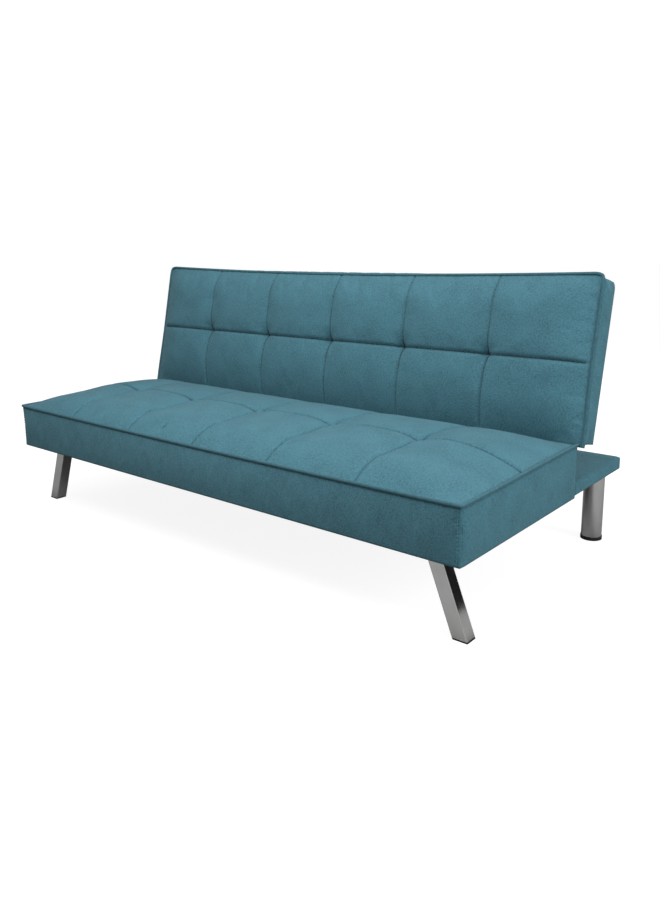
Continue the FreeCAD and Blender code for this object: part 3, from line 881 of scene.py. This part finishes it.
@dataclass
class BackCushion(QuiltedCushion):
    """The back, which is built lying flat and turned up about the recline hinge."""

    hem: float = 0.006          # rear cloth's edge inside the boxing
    drawn_in: float = 0.003     # how far the rear cloth sinks between the uprights
    rear_cloth: float = 0.0012  # thickness of the rear cloth

    def placement(self) -> Matrix:
        """Takes the flat cushion's own axes to the raised back's place in the frame."""
        return raise_back() @ Matrix.Translation((0, self.start, self.plane))

    def rear_panel(self, cloth: bpy.types.Material) -> bpy.types.Object:
        """Makes the cloth stapled over the back's timber, drawn in a little between its uprights.

        Args:
            cloth: the panel's material.

        Returns:
            The panel.
        """
        half = (self.half - self.hem, self.depth / 2 - self.hem)

        def height(x: float, y: float) -> float:
            """Draws the cloth in between the uprights."""
            across = abs(math.sin(math.pi * x * half[0] / self.pitch()))
            return self.drawn_in * across * (1 - y * y) + 0.0005 - self.thickness

        piece = stapled_sheet("back_rear_panel", half, (0, self.depth / 2), height, self.rear_cloth)
        piece.data.transform(self.placement())
        dress(piece, cloth)
        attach(piece, self.body)
        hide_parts("back_rear_cloth")
        return piece

    def dress_frame(self, made: list[bpy.types.Object]) -> None:
        """Hides the back's foam, front cover, boxing and piping nodes, which its pieces replace."""
        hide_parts("back_foam", "back_front_cover", "back_boxing")
        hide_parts("back_piping")


def raise_back() -> Matrix:
    """Turns the back from flat on the deck to its place at rest."""
    joint = joint_named("backrest_recline")
    pivot = Vector(joint["pos_m"])
    turn = Matrix.Rotation(math.radians(-joint["range_deg"][1]), 4, Vector(joint["axis"]))
    return Matrix.Translation(pivot) @ turn @ Matrix.Translation(-pivot)


def flat_box(nodes: list[str]) -> tuple[Vector, Vector]:
    """Box of some of the back's nodes when the back lies flat.

    Args:
        nodes: names of CAD nodes on the back.

    Returns:
        The lowest and highest corners.
    """
    lay = raise_back().inverted()
    places = [lay @ vertex.co for name in nodes for vertex in frame["nodes"][name].data.vertices]
    low = Vector(tuple(min(place[axis] for place in places) for axis in range(3)))
    high = Vector(tuple(max(place[axis] for place in places) for axis in range(3)))
    return low, high


# ---- deck ------------------------------------------------------------------------------------------
@dataclass
class RearDeck:
    """The thin padded shelf behind the seat, with rounded rear corners."""

    softness: float = 0.006
    corner: float = 0.022
    turn_under: float = 0.03

    def build(self, cloth: bpy.types.Material) -> bpy.types.Object:
        """Makes the wrapped pad and puts it on the frame.

        Args:
            cloth: the cover's material.

        Returns:
            The deck's cover.
        """
        low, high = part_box("deck_cover")
        mesh = bmesh.new()
        bmesh.ops.create_grid(mesh, x_segments=120, y_segments=28, size=1.0)
        middle = (low + high) / 2
        half = (high - low) / 2
        for vertex in mesh.verts:
            x, y = vertex.co.x, vertex.co.y
            a, b = self.plan(x * half.x, y * half.y, half)
            crown = crown_profile(half.x * (1 - abs(x)), 0.05) * crown_profile(half.y * (1 - abs(y)), 0.05)
            vertex.co = Vector((middle.x + a, middle.y + b, high.z - self.softness * (1 - crown)))
        edges = [edge for edge in mesh.edges if edge.is_boundary]
        levels = [high.z - 2 * self.softness, (high.z + low.z) / 2, low.z + 0.004, low.z]
        for level in levels:
            made = bmesh.ops.extrude_edge_only(mesh, edges=edges)["geom"]
            new = {item for item in made if isinstance(item, bmesh.types.BMVert)}
            for vertex in new:
                vertex.co.z = level
            edges = [item for item in made if isinstance(item, bmesh.types.BMEdge)
                     and item.is_boundary and all(end in new for end in item.verts)]
        made = bmesh.ops.extrude_edge_only(mesh, edges=edges)["geom"]
        turned = {item for item in made if isinstance(item, bmesh.types.BMVert)}
        for vertex in turned:
            vertex.co.x = middle.x + (vertex.co.x - middle.x) * (1 - self.turn_under / half.x)
            vertex.co.y = middle.y + (vertex.co.y - middle.y) * (1 - self.turn_under / half.y)
        rim = [item for item in made if isinstance(item, bmesh.types.BMEdge)
               and item.is_boundary and all(end in turned for end in item.verts)]
        bmesh.ops.holes_fill(mesh, edges=rim, sides=0)
        bmesh.ops.recalc_face_normals(mesh, faces=mesh.faces)
        threads = mesh.loops.layers.uv.new("cloth")
        for face in mesh.faces:
            face.normal_update()
            for loop in face.loops:
                place = loop.vert.co
                if abs(face.normal.z) > 0.7:
                    loop[threads].uv = (place.x, place.y)
                elif abs(face.normal.y) > abs(face.normal.x):
                    loop[threads].uv = (place.x, place.z)
                else:
                    loop[threads].uv = (place.y, place.z)
        piece = object_from(mesh, "deck_cushion")
        dress(piece, cloth)
        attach(piece, "base")
        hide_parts("deck_cover", "deck_pad")
        return piece

    def plan(self, x: float, y: float, half: Vector) -> tuple[float, float]:
        """Rounds the deck's two rear corners in plan.

        Args:
            x: across the deck, from its middle.
            y: along its depth, from its middle.
            half: half of its size.

        Returns:
            The place after rounding.
        """
        a = (abs(x) - (half.x - self.corner)) / self.corner
        b = (y - (half.y - self.corner)) / self.corner
        if a <= 0 or b <= 0:
            return x, y
        new_x = half.x - self.corner + self.corner * a * math.sqrt(1 - b * b / 2)
        new_y = half.y - self.corner + self.corner * b * math.sqrt(1 - a * a / 2)
        return math.copysign(new_x, x), new_y


@dataclass
class DustCloth:
    """The black cloth stapled under the seat's timber, which sags a little on each side of the middle."""

    sag: float = 0.004
    thickness: float = 0.0008

    def build(self, cloth: bpy.types.Material) -> bpy.types.Object:
        """Makes the cloth and puts it under the seat.

        Args:
            cloth: its material.

        Returns:
            The dust cloth.
        """
        low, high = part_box("seat_dust_cloth")
        middle, half = (low + high) / 2, (high - low) / 2

        def height(x: float, y: float) -> float:
            """Lets the cloth hang between the boards and the rails."""
            hang = math.sin(math.pi * x) ** 2 * (1 - y * y) ** 2
            return middle.z - self.sag * hang

        piece = stapled_sheet("seat_dust_sheet", (half.x, half.y), (middle.x, middle.y), height, self.thickness)
        dress(piece, cloth)
        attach(piece, "base")
        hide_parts("seat_dust_cloth")
        return piece


# ---- frame and hardware ----------------------------------------------------------------------------
@dataclass
class Hardware:
    """The frame's carried-over pieces, which get their finishes by material slot."""

    materials: dict[str, bpy.types.Material]

    def slot_of(self, piece: bpy.types.Object) -> str | None:
        """Finds the record's slot in the name of a node's imported material."""
        for entry in piece.data.materials:
            for name in sorted(self.materials, key=len, reverse=True):
                if entry is not None and name in entry.name:
                    return name
        return None

    def dress(self) -> None:
        """Gives every shown node its finish."""
        for name, piece in sorted(frame["nodes"].items()):
            if piece.hide_render:
                continue
            slot = self.slot_of(piece)
            if slot is None:
                raise ValueError(f"no finish for {name}: {[m.name for m in piece.data.materials if m]}")
            dress(piece, self.materials[slot])
            log.info("%s is dressed in %s", name, slot)


# ---- studio ----------------------------------------------------------------------------------------
@dataclass
class Studio:
    """White floor and surround, soft lights and the camera."""

    camera_place: tuple[float, float, float] = (1.6522, -1.8215, 0.8789)
    yaw: float = 0.6972
    pitch: float = 0.2106
    roll: float = -0.0128
    lens: float = 31.12
    lens_shift: float = -0.0448
    floor_glow: float = 0.88
    surround_light: float = 0.42

    def camera(self) -> None:
        """Makes the camera at eye height in front of the sofa's right end."""
        data = bpy.data.cameras.new("camera")
        data.lens = self.lens
        data.sensor_width = 36.0
        data.shift_y = self.lens_shift
        camera = bpy.data.objects.new("camera", data)
        bpy.context.scene.collection.objects.link(camera)
        forward = Vector((-math.sin(self.yaw) * math.cos(self.pitch),
                          math.cos(self.yaw) * math.cos(self.pitch), -math.sin(self.pitch)))
        level = Vector((math.cos(self.yaw), math.sin(self.yaw), 0))
        over = level.cross(forward)
        right = level * math.cos(self.roll) + over * math.sin(self.roll)
        up = over * math.cos(self.roll) - level * math.sin(self.roll)
        turn = Matrix((right, up, -forward)).transposed().to_4x4()
        camera.matrix_world = Matrix.Translation(self.camera_place) @ turn
        bpy.context.scene.camera = camera

    def floor(self) -> None:
        """Makes the wide white floor."""
        mesh = bmesh.new()
        bmesh.ops.create_grid(mesh, x_segments=4, y_segments=4, size=30.0)
        floor = object_from(mesh, "floor", smooth=False)
        bench = NodeBench("white_floor")
        bench.set(Base_Color=(0.26, 0.26, 0.26, 1), Roughness=0.9, Specular_IOR_Level=0.1,
                  Emission_Color=(1, 1, 1, 1))
        seen = bench.node("LightPath").outputs["Is Camera Ray"]
        bench.join(bench.math("MULTIPLY", seen, self.floor_glow), bench.shader.inputs["Emission Strength"])
        dress(floor, bench.material)

    def light(self, name: str, place: tuple[float, float, float], target: tuple[float, float, float],
              size: float, power: float, reflected: bool = False) -> None:
        """Adds one soft square light.

        Args:
            name: name of the light.
            place: where it stands.
            target: the point it faces.
            size: side of the square.
            power: its power in watts.
            reflected: whether polished metal shows it.
        """
        data = bpy.data.lights.new(name, "AREA")
        data.shape = "SQUARE"
        data.size = size
        data.energy = power
        lamp = bpy.data.objects.new(name, data)
        lamp.visible_camera = False
        lamp.visible_glossy = reflected
        bpy.context.scene.collection.objects.link(lamp)
        lamp.location = place
        lamp.rotation_euler = (Vector(target) - Vector(place)).to_track_quat("-Z", "Y").to_euler()

    def flag(self, name: str, place: Vector, target: Vector, width: float, height: float) -> None:
        """Stands a dark card where only polished metal reflects it.

        Args:
            name: name of the card.
            place: its middle.
            target: the point it faces.
            width: its width.
            height: its height.
        """
        mesh = bmesh.new()
        bmesh.ops.create_grid(mesh, x_segments=1, y_segments=1, size=0.5)
        bmesh.ops.scale(mesh, vec=(width, height, 1), verts=mesh.verts)
        turn = (place - target).to_track_quat("Z", "Y").to_matrix().to_4x4()
        bmesh.ops.transform(mesh, matrix=Matrix.Translation(place) @ turn, verts=mesh.verts)
        card = object_from(mesh, name, smooth=False)
        bench = NodeBench(name)
        bench.set(Base_Color=(0.01, 0.01, 0.01, 1), Roughness=1.0)
        dress(card, bench.material)
        card.visible_camera = card.visible_diffuse = card.visible_shadow = False

    def surround(self) -> None:
        """Makes the even white surround."""
        world = bpy.data.worlds.new("studio")
        world.use_nodes = True
        tree = world.node_tree
        background = tree.nodes["Background"]
        background.inputs["Color"].default_value = (1, 1, 1, 1)
        path = tree.nodes.new("ShaderNodeLightPath")
        level = tree.nodes.new("ShaderNodeMapRange")
        level.inputs["To Min"].default_value = self.surround_light
        level.inputs["To Max"].default_value = 1.05
        tree.links.new(path.outputs["Is Camera Ray"], level.inputs["Value"])
        tree.links.new(level.outputs[0], background.inputs["Strength"])
        bpy.context.scene.world = world
        bpy.context.scene.view_settings.view_transform = "Standard"

    def build(self) -> None:
        """Sets the whole studio up."""
        self.surround()
        self.floor()
        self.light("overhead", (0.35, -1.15, 2.4), (0, 0.0, 0.5), 1.4, 51, reflected=True)
        self.light("right_window", (4.2, 0.2, 1.9), (0, 0, 0.35), 2.0, 112)
        self.light("rear_fill", (-1.2, 3.4, 2.2), (0, 0.3, 0.5), 2.0, 45)
        self.flag("flag_behind", Vector((2.7, 2.2, 0.35)), Vector((0.8, -0.4, 0.1)), 1.7, 0.9)
        self.flag("flag_left", Vector((-2.6, -2.4, 0.4)), Vector((0.8, -0.4, 0.1)), 1.2, 0.8)
        self.camera()


def main() -> None:
    """Builds the sofa bed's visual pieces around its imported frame."""
    logging.basicConfig(level=logging.INFO, format="%(name)s: %(message)s")
    materials = {slot: finish.material() for slot, finish in FINISHES.items()}
    seat_low, seat_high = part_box("seat_boxing")
    seat = SeatCushion(
        name="seat_cushion", body="base", half=seat_high.x, start=seat_low.y,
        depth=seat_high.y - seat_low.y, plane=seat_high.z, thickness=seat_high.z - seat_low.z,
        tuft_depth=0.285, tuft_height=0.033, seam_height=0.054, cross_height=0.043, pillow_height=0.050,
        near_rows=32, far_rows=34, near_bow=0.010, sag=0.008, far_lift=0.009, slack=-0.004,
        side_run=0.22, far_run=0.21, squareness=0.8, crease=0.008,
        crease_width=0.0055, column_crease=0.7, far_rise=0.005, tuft_reach=0.04,
        line_width=0.006, short_line=0.004, pinch=(-0.155, 0.0475))
    seat_pieces = seat.build(materials["teal_cloth"], materials["piping_cloth"])
    seat.dress_frame(seat_pieces)
    seat.corner_stitches(PipingCloth("thread", mixed(TEAL, 1.7)).material())
    log.info("seat cushion has %d faces", len(seat_pieces[0].data.polygons))
    back_low, back_high = flat_box(["back_boxing", "back_rear_cloth"])
    back = BackCushion(
        name="back_cushion", body="backrest", half=back_high.x, start=back_low.y,
        depth=back_high.y - back_low.y, plane=back_high.z, thickness=back_high.z - back_low.z,
        tuft_depth=0.215, tuft_height=0.006, seam_height=0.036, cross_height=0.032, pillow_height=0.041,
        near_rows=24, far_rows=26, near_round=False, far_round=True, near_run=0.12, far_run=0.09,
        side_run=0.12, far_bow=0.015, slack=-0.006, tuft_reach=0.024, side_spread=0.008,
        near_spread=0.006, near_reach=0.008, crease=0.005, column_crease=0.6,
        squareness=0.3, tuft_shade=0.5)
    back_pieces = back.build(materials["teal_cloth"], materials["piping_cloth"])
    back.dress_frame(back_pieces)
    back.rear_panel(materials["teal_cloth"])
    log.info("back cushion has %d faces", len(back_pieces[0].data.polygons))
    deck = RearDeck().build(materials["teal_cloth"])
    log.info("deck has %d faces", len(deck.data.polygons))
    dust = DustCloth().build(materials["black_cloth"])
    log.info("dust cloth has %d faces", len(dust.data.polygons))
    Hardware(materials).dress()
    Studio().build()


if __name__ == "__main__":
    main()
